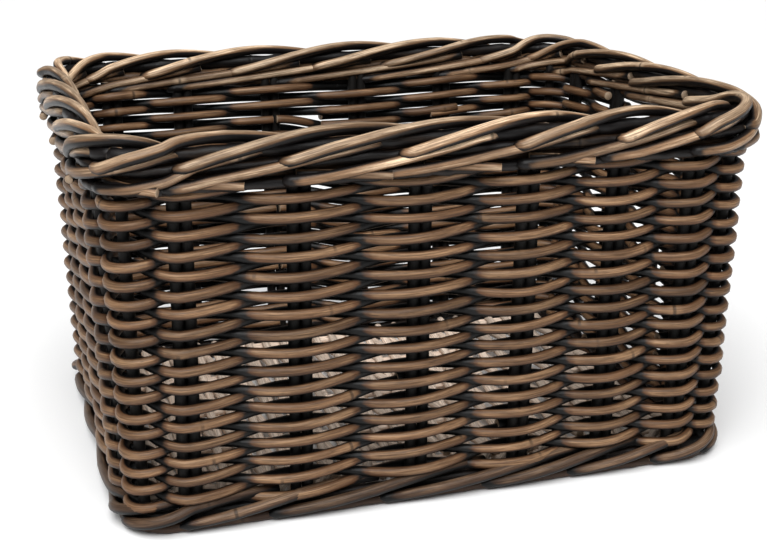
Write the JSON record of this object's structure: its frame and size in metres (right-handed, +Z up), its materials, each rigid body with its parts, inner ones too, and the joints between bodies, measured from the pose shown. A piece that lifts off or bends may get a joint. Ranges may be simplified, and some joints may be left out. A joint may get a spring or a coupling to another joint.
{
  "type": "wicker log basket",
  "caption": "Rectangular open basket woven in thick rattan rods, with a rope-like rim, a foot border and a hand hole in each end.",
  "frame": {"origin": "on the floor under the middle of the basket", "axes": "+Z up, +X along the basket's length towards one hand hole, -Y towards the long side that is seen as the front"},
  "size_m": [0.6012, 0.4572, 0.34],
  "materials": {
    "weaver": "satin brown rattan",
    "stake": "dark smoked rattan",
    "rim": "satin pale brown rattan",
    "foot": "satin brown rattan",
    "base": "matt brown rattan"
  },
  "bodies": {
    "root": {"base_stick_1": "base", "base_stick_2": "base", "base_stick_3": "base", "base_stick_4": "base", "base_stick_5": "base", "base_weaver_1": "base", "base_weaver_2": "base", "base_weaver_3": "base", "base_weaver_4": "base", "corner_post_back_left": "stake", "corner_post_back_right": "stake", "corner_post_front_left": "stake", "corner_post_front_right": "stake", "foot_border_rod_1": "foot", "foot_border_rod_2": "foot", "foot_ring": "foot", "hand_hole_weaver_back": "weaver", "hand_hole_weaver_front": "weaver", "rim_core_rod": "rim", "rim_rod_1": "rim", "rim_rod_2": "rim", "rim_rod_3": "rim", "rim_rod_4": "rim", "stake_pair_back_1": "stake", "stake_pair_back_2": "stake", "stake_pair_back_3": "stake", "stake_pair_back_4": "stake", "stake_pair_back_5": "stake", "stake_pair_back_6": "stake", "stake_pair_front_1": "stake", "stake_pair_front_2": "stake", "stake_pair_front_3": "stake", "stake_pair_front_4": "stake", "stake_pair_front_5": "stake", "stake_pair_front_6": "stake", "stake_pair_left_1": "stake", "stake_pair_left_2": "stake", "stake_pair_left_3": "stake", "stake_pair_left_4": "stake", "stake_pair_right_1": "stake", "stake_pair_right_2": "stake", "stake_pair_right_3": "stake", "stake_pair_right_4": "stake", "weaver_a1": "weaver", "weaver_a2": "weaver", "weaver_a3": "weaver", "weaver_a4": "weaver", "weaver_a5": "weaver", "weaver_a6": "weaver", "weaver_a7": "weaver", "weaver_a8": "weaver", "weaver_b1": "weaver", "weaver_b2": "weaver", "weaver_b3": "weaver", "weaver_b4": "weaver", "weaver_b5": "weaver", "weaver_b6": "weaver", "weaver_b7": "weaver", "weaver_b8": "weaver"}
  },
  "joints": []
}
